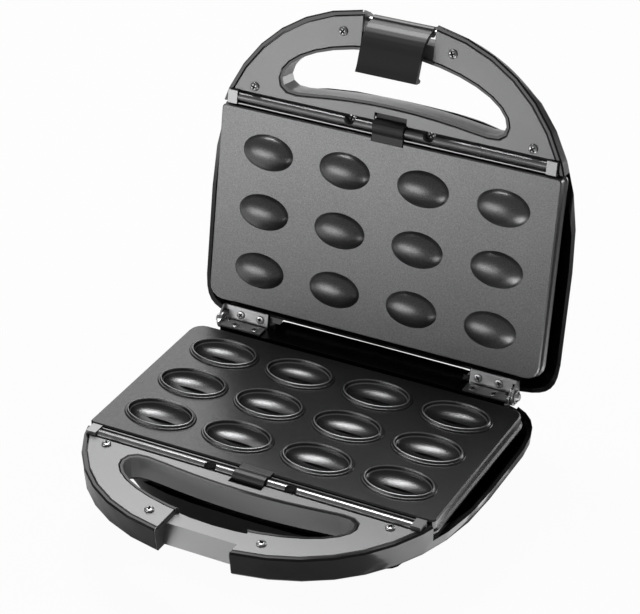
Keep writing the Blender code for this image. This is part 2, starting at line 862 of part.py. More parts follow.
def reflector(name):
    lip = (pan_lip_half_width, pan_lip_half_depth)
    throat = (pan_half_width, pan_half_depth)
    floor = (pan_half_width - pan_floor_inset, pan_half_depth - pan_floor_inset)
    small = plate_corner_front
    sheet = pan_sheet
    gain = sheet / 2
    rings = [
        pan_ring(*lip, small, pan_lip_drop),
        pan_ring(lip[0] - sheet, lip[1] - sheet, small - sheet, pan_lip_drop),
        pan_ring(lip[0] - sheet, lip[1] - sheet, small - sheet, pan_flange_drop),
        pan_ring(*throat, pan_corner, pan_flange_drop),
        pan_ring(*floor, pan_corner - pan_floor_inset, pan_floor_drop),
        pan_ring(floor[0] + gain, floor[1] + gain, pan_corner - pan_floor_inset, pan_floor_drop + sheet),
        pan_ring(throat[0] + gain, throat[1] + gain, pan_corner, pan_flange_drop + sheet),
        pan_ring(*lip, small, pan_flange_drop + sheet),
    ]
    outside = [rings[5], rings[6], rings[7], rings[0]]
    made = loft(name, [*outside, *rings[1:5]])
    for side in (-1, 1):
        hole = ((heater_hole_radius, -heater_tail_drop), (heater_hole_radius, -pan_flange_drop))
        place = (side * heater_gap_half, heater_half_depth, 0)
        cut(made, turned("tail_hole", hole, place, count=screw_count))
    return made


def tube(name, route, radius, sides):
    """A round bar along a route of points, with mitred bends."""
    rings = []
    for i, point in enumerate(route):
        before = (point - route[i - 1]).normalized() if i else (route[1] - point).normalized()
        after = (route[i + 1] - point).normalized() if i + 1 < len(route) else before
        along = (before + after).normalized()
        side = along.cross(Vector((0, 0, 1)))
        if side.length < weld_share:
            side = Vector((1, 0, 0))
        if rings:
            side = last_side - along * last_side.dot(along)
        side.normalize()
        last_side = side
        up = along.cross(side)
        stretch = 1 / max(math.sqrt((1 + before.dot(after)) / 2), 0.5)
        bend = (after - before)
        bend = bend.normalized() if bend.length > weld_share else None
        ring = []
        for across, rise in circle(radius, sides):
            offset = side * across + up * rise
            if bend:
                offset += bend * offset.dot(bend) * (stretch - 1)
            ring.append(point + offset)
        rings.append(ring)
    return loft(name, rings, 50)


def heater(name):
    """One loop of tube round the pan, its two tails turned down through the floor."""
    level = -pan_floor_drop + heater_radius + fit
    route = []
    for sign_x, sign_y, quarter in ((1, 1, 0), (1, -1, 3), (-1, -1, 2), (-1, 1, 1)):
        corner = []
        for i in range(heater_bend_steps + 1):
            turn = math.pi / 2 * (quarter + i / heater_bend_steps)
            x = sign_x * (heater_half_width - heater_bend) + heater_bend * math.cos(turn)
            y = sign_y * (heater_half_depth - heater_bend) + heater_bend * math.sin(turn)
            corner.append(Vector((x, y, level)))
        route += reversed(corner)
    tails = []
    for side in (1, -1):
        start = heater_gap_half + heater_radius
        tails.append([
            Vector((side * heater_gap_half, heater_half_depth, -heater_tail_drop)),
            Vector((side * heater_gap_half, heater_half_depth, level - heater_radius)),
            Vector((side * start, heater_half_depth, level)),
        ])
    return tube(name, [*tails[0], *route, *reversed(tails[1])], heater_radius, heater_sides)


def thermostat():
    top = -pan_floor_drop - pan_sheet - fit
    bottom = top - thermostat_height
    profile = (
        (thermostat_radius, top),
        (thermostat_radius, bottom + thermostat_height / 2),
        (thermostat_radius - pan_sheet, bottom + thermostat_height / 2),
        (thermostat_radius - pan_sheet, bottom),
    )
    return turned("thermostat", profile, (-thermostat_x, 0, 0))


place_piece(reflector("lower_reflector"), pan_aluminium, root)
to_lid(reflector("upper_reflector"), pan_aluminium)
place_piece(heater("lower_heating_element"), heater_metal, root, 50)
to_lid(heater("upper_heating_element"), heater_metal, 50)
place_piece(thermostat(), heater_metal, root)

# Gland for the mains lead, feet and lamp lenses

gland_flange_radius = 0.0080
gland_length = 0.0120
gland_mouth_radius = 0.0040
gland_lead_bore = 0.0031
gland_flange = 0.0020
gland_outer_inset = 0.0028
gland_inner_inset = 0.0090
gland_outer_y = body_centre_y + base_rear_reach - gland_outer_inset
gland_inner_y = body_centre_y + base_rear_reach - gland_inner_inset

foot_lip = 0.0008
foot_recess = 0.0010
foot_recess_radius = 0.0055

lens_radius = 0.0035
lens_x = 0.0090
lens_y = -0.0480
lens_rise = 0.0012


def gland():
    body = gland_bore_radius - fit
    profile = (
        (gland_lead_bore, gland_inner_y - gland_flange),
        (gland_flange_radius, gland_inner_y - gland_flange),
        (gland_flange_radius, gland_inner_y),
        (body, gland_inner_y),
        (body, gland_outer_y),
        (gland_flange_radius, gland_outer_y),
        (gland_flange_radius, gland_outer_y + gland_flange),
        (body, gland_outer_y + gland_flange),
        (gland_mouth_radius, gland_outer_y + gland_length),
        (gland_lead_bore, gland_outer_y + gland_length),
        (gland_lead_bore, gland_inner_y - gland_flange),
    )
    return ring_solid("cord_gland", profile, (gland_x, 0, -gland_drop), "Y", screw_count)


def ring_solid(name, profile, place, axis, count):
    """A turned piece with a bore: the profile closes on itself."""
    shape = bmesh.new()
    rows = []
    for radius, height in profile[:-1]:
        rows.append([shape.verts.new((x, y, height)) for x, y in circle(radius, count)])
    for low, high in zip(rows, rows[1:] + rows[:1]):
        for i in range(count):
            j = (i + 1) % count
            shape.faces.new((low[i], low[j], high[j], high[i]))
    made = finish(name, shape)
    if axis == "Y":
        made.data.transform(Matrix.Rotation(-math.pi / 2, 4, "X"))
    if axis == "X":
        made.data.transform(Matrix.Rotation(math.pi / 2, 4, "Y"))
    made.data.transform(Matrix.Translation(place))
    return made


place_piece(gland(), foot_rubber, root)


def foot(name, place):
    top = -body_bottom - foot_boss_drop - fit
    bottom = -body_bottom - foot_height
    profile = (
        (foot_radius, top),
        (foot_radius, bottom + foot_lip),
        (foot_radius - foot_lip, bottom),
        (foot_recess_radius, bottom),
        (foot_recess_radius, bottom + foot_recess),
    )
    return turned(name, profile, (*place, 0))


feet = {"rear": rear_foot, "front": front_foot}
for end, (x, y) in feet.items():
    for side_name, side in (("left", -1), ("right", 1)):
        place_piece(foot(f"foot_{end}_{side_name}", (side * x, y)), foot_rubber, root)


def lens(name, x):
    """A lamp lens let through the lid's top, drawn like the base and turned over."""
    bottom = -body_bottom
    profile = (
        (lens_radius + fit * 2, bottom + wall + fit * 2),
        (lens_radius + fit * 2, bottom + wall + fit),
        (lens_radius, bottom + wall + fit),
        (lens_radius, bottom - lens_rise / 2),
        (lens_radius / 2, bottom - lens_rise),
    )
    return turned(name, profile, (x, lens_y, 0), count=screw_count)


for side, name, paint in ((1, "power_lens", lamp_red), (-1, "ready_lens", lamp_green)):
    hole = ((lens_radius + fit, -body_bottom - overrun), (lens_radius + fit, -body_bottom + overrun))
    cutter = turned("lens_hole", hole, (side * lens_x, lens_y, 0), count=screw_count)
    turn_over(cutter)
    cutter.data.transform(Matrix.Translation((0, -hinge_y, -hinge_z)))
    cutter.parent = lid_frame
    cut(lid_shell, cutter)
    to_lid(lens(name, side * lens_x), paint)

# Hinges: a base leaf and a lid leaf of bent sheet, each with an upright ear on the pin

leaf_sheet = 0.0012
leaf_inner_x = 0.0710
leaf_edge_gap = 0.0002
leaf_ear_gap = 0.0010
leaf_outer_x = hinge_half_width - leaf_edge_gap
base_leaf_front_y = 0.0688
base_leaf_back_y = 0.0772
base_leaf_bridge_y = 0.0735
lid_leaf_front_y = 0.0673
lid_leaf_back_y = 0.0780
lid_leaf_bridge_y = 0.0700
ear_radius = 0.0058
base_ear_x = hinge_half_width + leaf_ear_gap
lid_ear_x = base_ear_x + leaf_sheet + fit
ear_neck_rise = 0.0015
ear_arc_start = math.radians(-115)
ear_arc_end = math.radians(150)
ear_steps = 12

pin_radius = 0.0015
pin_head_radius = 0.0033
pin_peen_radius = 0.0026
pin_peen_length = 0.0005
washer_radius = 0.0044
washer_thickness = 0.0008
pin_head_length = 0.0017
pin_crown_share = 0.65


def hinge_leaf(name, side, front_y, back_y, bridge_y, ear_x, axis_height):
    """A leaf in its housing's drawn frame, with its ear round the axis at the given height."""
    bottom = -hinge_deck_drop + fit
    top = bottom + leaf_sheet
    ear_far = ear_x + leaf_sheet
    near, far = sorted((side * leaf_inner_x, side * leaf_outer_x))
    leaf = box(name, (near, far), (front_y, back_y), (bottom, top))
    near, far = sorted((side * (leaf_outer_x - leaf_sheet), side * ear_far))
    join(leaf, box("bridge", (near, far), (front_y, bridge_y), (bottom, top)))
    profile = [(front_y, bottom)]
    for i in range(ear_steps + 1):
        turn = ear_arc_start + (ear_arc_end - ear_arc_start) * i / ear_steps
        profile.append((hinge_y + ear_radius * math.cos(turn), axis_height + ear_radius * math.sin(turn)))
    profile.append((front_y, top + ear_neck_rise))
    near, far = sorted((side * ear_x, side * ear_far))
    join(leaf, bar("ear", profile, near, far))
    bore = pin_radius + fit
    near, far = sorted((side * (ear_x - overrun), side * (ear_far + overrun)))
    place = (0, hinge_y, axis_height)
    cut(leaf, turned("pin_bore", ((bore, near), (bore, far)), place, "X", screw_count))
    for x, y in hinge_screws:
        bored(leaf, (side * x, y), 0, ledge_drop)
    return leaf


def hinge_pin(name, side):
    start = base_ear_x - fit - pin_peen_length
    washer_x = lid_ear_x + leaf_sheet + fit
    head_x = washer_x + washer_thickness
    profile = (
        (pin_peen_radius, start),
        (pin_peen_radius, start + pin_peen_length),
        (pin_radius, start + pin_peen_length),
        (pin_radius, washer_x),
        (washer_radius, washer_x),
        (washer_radius, head_x),
        (pin_head_radius, head_x),
        (pin_head_radius * pin_crown_share, head_x + pin_head_length),
    )
    drawn = profile if side > 0 else tuple((radius, -x) for radius, x in reversed(profile))
    return turned(name, drawn, (0, hinge_y, hinge_z), "X", screw_count)


# Screws: a domed head on a plain shank

head_rim_share = 0.4
head_crown_share = 0.62
cover_head_radius = 0.0029
cover_head_rise = 0.0013
cover_screw_reach = 0.0105
rail_head_radius = 0.0032
rail_head_rise = 0.0017
rail_screw_reach = 0.0072
hinge_head_radius = 0.0027
hinge_head_rise = 0.0005
hinge_screw_reach = 0.0100


def screw(name, place, seat, head_radius, rise, reach):
    profile = (
        (shank_radius, seat - reach),
        (shank_radius, seat),
        (head_radius, seat),
        (head_radius, seat + rise * head_rim_share),
        (head_radius * head_crown_share, seat + rise),
    )
    return turned(name, profile, (*place, 0), count=screw_count)


base_leaf = (base_leaf_front_y, base_leaf_back_y, base_leaf_bridge_y, base_ear_x, hinge_z)
lid_axis = parting_gap - hinge_z
lid_leaf = (lid_leaf_front_y, lid_leaf_back_y, lid_leaf_bridge_y, lid_ear_x, lid_axis)
for side_name, side in (("left", -1), ("right", 1)):
    place_piece(hinge_leaf(f"base_hinge_leaf_{side_name}", side, *base_leaf), hinge_steel, root)
    to_lid(hinge_leaf(f"lid_hinge_leaf_{side_name}", -side, *lid_leaf), hinge_steel)
    place_piece(hinge_pin(f"hinge_pin_{side_name}", side), hinge_steel, root)

cover_seat = -cover_drop + fit
rail_seat = -rail_strip_top + fit
hinge_seat = leaf_sheet - hinge_deck_drop + fit * 2
sets = (
    ("cover_screw", cover_screws, cover_seat, cover_head_radius, cover_head_rise, cover_screw_reach),
    ("rail_screw", (rail_screw,), rail_seat, rail_head_radius, rail_head_rise, rail_screw_reach),
    ("hinge_screw", hinge_screws, hinge_seat, hinge_head_radius, hinge_head_rise, hinge_screw_reach),
)
for kind, places, seat, head_radius, rise, reach in sets:
    for i, (x, y) in enumerate(mirrored_pairs(places), 1):
        place_piece(screw(f"base_{kind}_{i}", (x, y), seat, head_radius, rise, reach), screw_steel, root)
        to_lid(screw(f"lid_{kind}_{i}", (x, y), seat, head_radius, rise, reach), screw_steel)

# Latch: a curved clip on its pin, with a straight tail, a tooth and a finger lip

latch_half_width = 0.0202
latch_arc_y = 0.0170
latch_arc_z = 0.0020
latch_outer_radius = 0.0190
latch_wall = 0.0030
latch_arc_start = math.radians(180)
latch_arc_end = math.radians(256.7)
latch_arc_steps = 8
latch_tail = 0.0144
latch_tooth_start = 0.0124
latch_tooth_height = 0.0030
latch_tooth_width = 0.0016
latch_tooth_turn = math.radians(57)
latch_lip = 0.0016
latch_knuckle_radius = 0.0034

latch_frame = empty("latch_pin_axis", lid_frame, (0, latch_pin_y - hinge_y, latch_pin_height - hinge_z))


def latch_clip():
    outer, inner = [], []
    inner_radius = latch_outer_radius - latch_wall
    for i in range(latch_arc_steps + 1):
        turn = latch_arc_start + (latch_arc_end - latch_arc_start) * i / latch_arc_steps
        for side, radius in ((outer, latch_outer_radius), (inner, inner_radius)):
            side.append((latch_arc_y + radius * math.cos(turn), latch_arc_z + radius * math.sin(turn)))
    along = Vector((math.cos(latch_arc_end + math.pi / 2), math.sin(latch_arc_end + math.pi / 2)))
    inward = Vector((-along.y, along.x))
    tail_end = Vector(outer[-1]) + along * latch_tail
    tooth_root = Vector(inner[-1]) + along * latch_tooth_start
    rise = Vector((math.cos(latch_tooth_turn), math.sin(latch_tooth_turn)))
    tooth_tip = tooth_root + rise * latch_tooth_height
    tooth_far = tooth_tip + along * latch_tooth_width
    lip_end = tail_end + along * latch_lip + inward * latch_wall / 2
    lip_top = tail_end + along * latch_lip - inward * latch_lip / 2
    tail = (tail_end - along * latch_wall, lip_top, lip_end, tooth_far, tooth_tip, tooth_root)
    profile = [*outer, *(tuple(point) for point in tail), *reversed(inner)]
    clip = bar("latch_clip", profile, -latch_half_width, latch_half_width)
    ends = (-latch_half_width, latch_half_width)
    join(clip, turned("knuckle", [(latch_knuckle_radius, x) for x in ends], (0, 0, 0), "X"))
    hole = latch_pin_radius + fit
    reach = latch_half_width + overrun
    cut(clip, turned("pin_bore", ((hole, -reach), (hole, reach)), (0, 0, 0), "X", screw_count))
    return clip


place_piece(latch_clip(), latch_plastic, latch_frame)
pin_reach = notch_half_width + wall - fit
pin_ends = ((latch_pin_radius, -pin_reach), (latch_pin_radius, pin_reach))
latch_pin = turned("latch_pin", pin_ends, (0, 0, 0), "X", screw_count)
latch_pin.data.transform(Matrix.Translation(latch_frame.location))
place_piece(latch_pin, screw_steel, lid_frame)

# Plate release slides: a tongue under the cover, a roll over the rail, a nose on the plate

slide_tongue_drop = 0.0041
slide_bottom = rail_strip_top - fit
slide_roll_front_y = -0.0762
slide_roll_back_y = -0.0672
slide_roll_rise = 0.0016
slide_roll_shoulder = 0.0015
slide_roll_steps = 6
slide_heel_y = -0.0669
slide_nose_y = plate_notch_y - fit
slide_nose_rise = 0.0003


def release_slide(name):
    middle = (slide_roll_front_y + slide_roll_back_y) / 2
    half = (slide_roll_back_y - slide_roll_front_y) / 2
    rise = slide_roll_rise + slide_roll_shoulder
    roll = []
    for i in range(slide_roll_steps + 1):
        turn = math.pi * i / slide_roll_steps
        roll.append((middle - half * math.cos(turn), rise * math.sin(turn) - slide_roll_shoulder))
    nose_base = -plate_notch_drop + fit
    profile = [
        (slide_front_y, -slide_bottom),
        (slide_front_y, -slide_tongue_drop),
        (slide_roll_front_y, -slide_tongue_drop),
        *roll[:-1],
        (slide_roll_back_y, slide_nose_rise),
        (slide_nose_y, slide_nose_rise),
        (slide_nose_y, nose_base),
        (slide_heel_y, nose_base),
        (slide_heel_y, -slide_bottom),
    ]
    return bar(name, profile, -slide_half_width, slide_half_width)


place_piece(release_slide("lower_plate_release"), slide_plastic, root)
to_lid(release_slide("upper_plate_release"), slide_plastic)

# Stand the part on the origin, with the middle of its box above it

bpy.context.view_layer.update()
solids = [made for made in room.objects if made.type == "MESH"]
points = [made.matrix_world @ vertex.co for made in solids for vertex in made.data.vertices]
low = Vector(min(point[axis] for point in points) for axis in range(3))
high = Vector(max(point[axis] for point in points) for axis in range(3))
middle = (low + high) / 2
root.location = (-middle.x, -middle.y, -low.z)
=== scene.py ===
import json
import math

import bpy
from mathutils import Matrix, Vector

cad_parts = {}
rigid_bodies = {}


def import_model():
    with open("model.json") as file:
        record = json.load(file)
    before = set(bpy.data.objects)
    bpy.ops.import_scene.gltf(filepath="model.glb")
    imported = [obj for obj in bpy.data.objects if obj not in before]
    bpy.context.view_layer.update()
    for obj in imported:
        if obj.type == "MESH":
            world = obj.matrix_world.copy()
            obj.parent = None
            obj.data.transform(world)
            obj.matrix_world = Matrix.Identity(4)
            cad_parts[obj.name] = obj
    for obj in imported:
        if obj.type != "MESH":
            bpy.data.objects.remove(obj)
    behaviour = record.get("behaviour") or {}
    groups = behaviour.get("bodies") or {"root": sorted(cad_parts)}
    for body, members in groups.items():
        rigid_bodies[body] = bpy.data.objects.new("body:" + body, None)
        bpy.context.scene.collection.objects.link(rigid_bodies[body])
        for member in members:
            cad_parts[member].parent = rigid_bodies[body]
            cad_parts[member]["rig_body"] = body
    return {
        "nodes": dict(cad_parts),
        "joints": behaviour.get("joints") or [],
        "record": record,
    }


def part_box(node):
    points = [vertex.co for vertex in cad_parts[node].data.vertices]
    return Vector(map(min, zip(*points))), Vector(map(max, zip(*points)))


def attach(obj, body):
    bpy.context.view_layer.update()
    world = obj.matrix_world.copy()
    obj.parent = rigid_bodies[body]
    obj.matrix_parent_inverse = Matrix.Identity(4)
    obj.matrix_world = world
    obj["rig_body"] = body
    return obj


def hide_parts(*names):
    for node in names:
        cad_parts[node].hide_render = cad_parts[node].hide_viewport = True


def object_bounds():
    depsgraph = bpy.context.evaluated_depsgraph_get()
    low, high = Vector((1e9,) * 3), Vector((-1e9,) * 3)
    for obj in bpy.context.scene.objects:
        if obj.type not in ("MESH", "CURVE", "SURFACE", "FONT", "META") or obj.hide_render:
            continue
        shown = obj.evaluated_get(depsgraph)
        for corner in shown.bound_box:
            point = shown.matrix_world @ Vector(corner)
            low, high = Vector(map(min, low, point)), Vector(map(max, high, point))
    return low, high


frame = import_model()
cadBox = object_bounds()
nodes = frame["nodes"]
bodyOf = {name: node["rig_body"] for name, node in nodes.items()}
slotOf = {entry["node"]: entry["material_slot"] for entry in frame["record"]["subparts"]}
bpy.ops.object.select_all(action="DESELECT")
print("frame loaded:", len(nodes), "nodes")

# Where the pieces are: the lower plate's middle, and the lid's turn about its hinge
layout = {
    "cupRimHeight": 0.0022,
    "gap": 0.0038,  # between the plates with the lid shut
}
hingeJoint = next(joint for joint in frame["joints"] if joint["name"] == "lid_hinge")
hingePoint = Vector(hingeJoint["pos_m"])
lidAngle = math.radians(hingeJoint["range_deg"][1])
plateLow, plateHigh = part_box("lower_plate")
plateTop = plateHigh.z - layout["cupRimHeight"]
plateMiddle = Vector((0, (plateLow.y + plateHigh.y) / 2, plateTop))
hingeRise = hingePoint.z - plateTop

# From the base's drawing to the lid's place: turned over, lifted and swung open
toLid = (
    Matrix.Translation(hingePoint)
    @ Matrix.Rotation(-lidAngle, 4, "X")
    @ Matrix.Translation((0, plateMiddle.y - hingePoint.y, layout["gap"] - hingeRise))
    @ Matrix.Rotation(math.pi, 4, "Y")
)
toBase = Matrix.Translation(plateMiddle)


# Camera: from the front right and above
cameraView = {
    "offset": (0.5925, -1.1248, 0.8246),  # from the plate's middle
    "azimuth": 27.4444,
    "elevation": 30.4747,
    "roll": -0.0026,  # in radians, the others in degrees
    "lens": 140.755,
    "sensorWidth": 36,
    "clipEnd": 20,
}


def addCamera(view):
    azimuth = math.radians(view["azimuth"])
    elevation = math.radians(view["elevation"])
    level = math.cos(elevation)
    forward = Vector((-math.sin(azimuth) * level, math.cos(azimuth) * level, -math.sin(elevation)))
    right = Vector((math.cos(azimuth), math.sin(azimuth), 0))
    up = right.cross(forward)
    turnedRight = right * math.cos(view["roll"]) + up * math.sin(view["roll"])
    turnedUp = up * math.cos(view["roll"]) - right * math.sin(view["roll"])
    bpy.ops.object.camera_add(location=plateMiddle + Vector(view["offset"]))
    camera = bpy.context.object
    camera.rotation_euler = Matrix((turnedRight, turnedUp, -forward)).transposed().to_euler()
    camera.data.lens = view["lens"]
    camera.data.sensor_width = view["sensorWidth"]
    camera.data.clip_end = view["clipEnd"]
    bpy.context.scene.camera = camera


addCamera(cameraView)
print("camera placed")


# Node helpers, for the materials and the room
def link(tree, source, target):
    tree.links.new(source, target)


def addNode(tree, kind, values=None):
    node = tree.nodes.new(kind)
    for label, value in (values or {}).items():
        node.inputs[label].default_value = value
    return node


def addMath(tree, operation, *entries):
    # each entry is a socket or a plain number
    node = addNode(tree, "ShaderNodeMath")
    node.operation = operation
    for slot, entry in zip(node.inputs, entries):
        if isinstance(entry, bpy.types.NodeSocket):
            link(tree, entry, slot)
        else:
            slot.default_value = entry
    return node.outputs[0]


def newGroup(name, inputs):
    group = bpy.data.node_groups.new(name, "ShaderNodeTree")
    for label, kind, value in inputs:
        socket = group.interface.new_socket(label, in_out="INPUT", socket_type=kind)
        socket.default_value = value
    group.interface.new_socket("Colour", in_out="OUTPUT", socket_type="NodeSocketColor")
    group.interface.new_socket("Roughness", in_out="OUTPUT", socket_type="NodeSocketFloat")
    group.interface.new_socket("Height", in_out="OUTPUT", socket_type="NodeSocketFloat")
    start = addNode(group, "NodeGroupInput")
    place = addNode(group, "ShaderNodeTexCoord").outputs["Object"]
    return group, start, place


def closeGroup(group, start, shade, pattern, spread, height):
    # the shade scales the colour, and the pattern times its spread goes on top of the roughness
    end = addNode(group, "NodeGroupOutput")
    tint = addNode(group, "ShaderNodeVectorMath")
    tint.operation = "SCALE"
    link(group, start.outputs["Colour"], tint.inputs[0])
    link(group, shade, tint.inputs["Scale"])
    rough = addMath(group, "MULTIPLY_ADD", pattern, start.outputs[spread], start.outputs["Roughness"])
    link(group, tint.outputs[0], end.inputs["Colour"])
    link(group, rough, end.inputs["Roughness"])
    link(group, height, end.inputs["Height"])
    return group


# Fine moulded grain or spray speckle
grain = {
    "fine": {"Detail": 3, "Roughness": 0.6},
    "broad": {"Scale": 14, "Detail": 2},
    "mask": {"From Min": 0.35, "From Max": 0.7},
    "middle": 0.45,
}


def buildGrain():
    group, start, place = newGroup(
        "surfaceGrain",
        [
            ("Colour", "NodeSocketColor", (0.1, 0.1, 0.1, 1)),
            ("Scale", "NodeSocketFloat", 900),
            ("Speckle", "NodeSocketFloat", 0.2),
            ("Roughness", "NodeSocketFloat", 0.4),
            ("Roughness Spread", "NodeSocketFloat", 0.1),
        ],
    )
    fine = addNode(group, "ShaderNodeTexNoise", grain["fine"])
    link(group, place, fine.inputs["Vector"])
    link(group, start.outputs["Scale"], fine.inputs["Scale"])
    broad = addNode(group, "ShaderNodeTexNoise", grain["broad"])
    link(group, place, broad.inputs["Vector"])
    mask = addNode(group, "ShaderNodeMapRange", grain["mask"])
    link(group, fine.outputs["Fac"], mask.inputs["Value"])
    specks = mask.outputs["Result"]
    # light and dark specks round the named colour
    centred = addMath(group, "SUBTRACT", specks, grain["middle"])
    shade = addMath(group, "MULTIPLY_ADD", centred, start.outputs["Speckle"], 1)
    return closeGroup(group, start, shade, broad.outputs["Fac"], "Roughness Spread", specks)


# Drawn lines along one axis, for stamped sheet and rods
brushing = {
    "lines": {"Scale": 1, "Detail": 4},
    "darkest": 0.92,
}


def buildBrushing():
    group, start, place = newGroup(
        "brushedLines",
        [
            ("Colour", "NodeSocketColor", (0.6, 0.6, 0.6, 1)),
            ("Stretch", "NodeSocketVector", (40, 900, 900)),
            ("Roughness", "NodeSocketFloat", 0.3),
            ("Depth", "NodeSocketFloat", 0.15),
        ],
    )
    scaled = addNode(group, "ShaderNodeVectorMath")
    scaled.operation = "MULTIPLY"
    link(group, place, scaled.inputs[0])
    link(group, start.outputs["Stretch"], scaled.inputs[1])
    noise = addNode(group, "ShaderNodeTexNoise", brushing["lines"])
    link(group, scaled.outputs[0], noise.inputs["Vector"])
    lines = noise.outputs["Fac"]
    shade = addMath(group, "MULTIPLY_ADD", lines, start.outputs["Depth"], brushing["darkest"])
    return closeGroup(group, start, shade, lines, "Depth", lines)


grainGroup = buildGrain()
brushGroup = buildBrushing()

# Materials: a grey is one number, and those with a stretch are brushed
finishes = {
    "shellGloss": {
        "Colour": 0.006, "Scale": 60, "Speckle": 0.0, "Roughness": 0.14, "Roughness Spread": 0.08,
        "bump": 0.02, "specular": 0.36, "coat": 0.3,
    },
    "coverSatin": {
        "Colour": 0.26, "Scale": 2600, "Speckle": 0.12, "Roughness": 0.36, "Roughness Spread": 0.08,
        "bump": 0.03, "metallic": 0.75,
    },
    # a brighter copy of coverSatin for the finger hole's walls: painted light
    "holeSatinPaintedLight": {
        "Colour": 0.42, "Scale": 2600, "Speckle": 0.12, "Roughness": 0.34, "Roughness Spread": 0.08,
        "bump": 0.03, "metallic": 0.4,
    },
    "railGloss": {
        "Colour": 0.3, "Scale": 80, "Speckle": 0.0, "Roughness": 0.24, "Roughness Spread": 0.08,
        "bump": 0.02, "metallic": 0.85,
    },
    "slideMatte": {
        "Colour": 0.03, "Scale": 2200, "Speckle": 0.2, "Roughness": 0.36, "Roughness Spread": 0.1,
        "bump": 0.08,
    },
    "latchGloss": {
        "Colour": 0.03, "Scale": 70, "Speckle": 0.0, "Roughness": 0.36, "Roughness Spread": 0.06,
        "bump": 0.02,
    },
    "plateCoat": {
        "Colour": 0.085, "Scale": 1500, "Speckle": 0.5, "Roughness": 0.22, "Roughness Spread": 0.08,
        "bump": 0.08, "metallic": 0.85,
    },
    # the same coating as plateCoat, made lighter for the upper plate: painted light
    "upperPlatePaintedLight": {
        "Colour": 0.19, "Scale": 1500, "Speckle": 0.5, "Roughness": 0.27, "Roughness Spread": 0.1,
        "bump": 0.1, "metallic": 0.85,
    },
    # the cup's ridge is the plate's own coating painted darker: painted shade along the crease
    "seamPaintedShade": {
        "Colour": 0.02, "Scale": 1500, "Speckle": 0.3, "Roughness": 0.3, "Roughness Spread": 0.08,
        "bump": 0.05, "metallic": 0.85,
    },
    # a lighter finish on the plates' rims, ledges and rounded edges: painted highlight
    "plateEdgePaintedHighlight": {
        "Colour": 0.3, "Scale": 900, "Speckle": 0.1, "Roughness": 0.3, "Roughness Spread": 0.1,
        "bump": 0.02, "metallic": 0.9,
    },
    # the screws' cross recess painted near black: painted shade
    "recessPaintedShade": {
        "Colour": 0.01, "Scale": 400, "Speckle": 0.2, "Roughness": 0.6, "Roughness Spread": 0.1,
        "bump": 0.02,
    },
    "hingeSteel": {
        "Colour": 0.62, "Stretch": (60, 1400, 1400), "Roughness": 0.26, "Depth": 0.16,
        "bump": 0.05, "metallic": 1,
    },
    "screwSteel": {
        "Colour": 0.6, "Stretch": (500, 500, 500), "Roughness": 0.24, "Depth": 0.12,
        "bump": 0.03, "metallic": 1,
    },
    "panAluminium": {
        "Colour": 0.6, "Stretch": (30, 700, 700), "Roughness": 0.35, "Depth": 0.2,
        "bump": 0.05, "metallic": 1,
    },
    "heaterMetal": {
        "Colour": 0.09, "Scale": 900, "Speckle": 0.4, "Roughness": 0.5, "Roughness Spread": 0.1,
        "bump": 0.1, "metallic": 0.8,
    },
    "footRubber": {
        "Colour": 0.015, "Scale": 1200, "Speckle": 0.3, "Roughness": 0.75, "Roughness Spread": 0.1,
        "bump": 0.2,
    },
    "lampRed": {
        "Colour": (0.45, 0.02, 0.015), "Scale": 300, "Speckle": 0.1, "Roughness": 0.1,
        "Roughness Spread": 0.05, "bump": 0.02, "coat": 1,
    },
    "lampGreen": {
        "Colour": (0.03, 0.3, 0.06), "Scale": 300, "Speckle": 0.1, "Roughness": 0.1,
        "Roughness Spread": 0.05, "bump": 0.02, "coat": 1,
    },
}
allFinishes = {
    "groupInputs": ("Scale", "Speckle", "Roughness", "Roughness Spread", "Depth", "Stretch"),
    "blueOfGrey": 1.01,
    "bumpDistance": 0.0004,
    "coatRoughness": 0.06,
    "specular": 0.5,
}


def makeFinish(name, look):
    made = bpy.data.materials.new(name)
    made.use_nodes = True
    tree = made.node_tree
    shader = tree.nodes["Principled BSDF"]
    effect = addNode(tree, "ShaderNodeGroup")
    effect.node_tree = brushGroup if "Stretch" in look else grainGroup
    for label in allFinishes["groupInputs"]:
        if label in look:
            effect.inputs[label].default_value = look[label]
    colour = look["Colour"]
    if not isinstance(colour, tuple):
        colour = (colour, colour, colour * allFinishes["blueOfGrey"])
    effect.inputs["Colour"].default_value = (*colour, 1)
    bumpValues = {"Strength": look["bump"], "Distance": allFinishes["bumpDistance"]}
    bump = addNode(tree, "ShaderNodeBump", bumpValues)
    link(tree, effect.outputs["Colour"], shader.inputs["Base Color"])
    link(tree, effect.outputs["Roughness"], shader.inputs["Roughness"])
    link(tree, effect.outputs["Height"], bump.inputs["Height"])
    link(tree, bump.outputs["Normal"], shader.inputs["Normal"])
    shader.inputs["Metallic"].default_value = look.get("metallic", 0)
    shader.inputs["Coat Weight"].default_value = look.get("coat", 0)
    shader.inputs["Coat Roughness"].default_value = allFinishes["coatRoughness"]
    shader.inputs["Specular IOR Level"].default_value = look.get("specular", allFinishes["specular"])
    return made


looks = {name: makeFinish(name, look) for name, look in finishes.items()}
print("materials made:", len(looks))

finishOfSlot = {
    "shell": "shellGloss",
    "cover": "coverSatin",
    "rail": "railGloss",
    "slide": "slideMatte",
    "latch": "latchGloss",
    "plate": "plateCoat",
    "hinge": "hingeSteel",
    "screw": "screwSteel",
    "pan": "panAluminium",
    "heater": "heaterMetal",
    "rubber": "footRubber",
    "lamp_red": "lampRed",
    "lamp_green": "lampGreen",
}

# A face's material_index, for pieces with more than one finish
secondFinish = 1
thirdFinish = 2


def dress(piece, *names):
    piece.data.materials.clear()
    for name in names:
        piece.data.materials.append(looks[name])


def finishOf(name):
    # the upper plate takes the lighter copy of the coating: painted light
    return "upperPlatePaintedLight" if name == "upper_plate" else finishOfSlot[slotOf[name]]


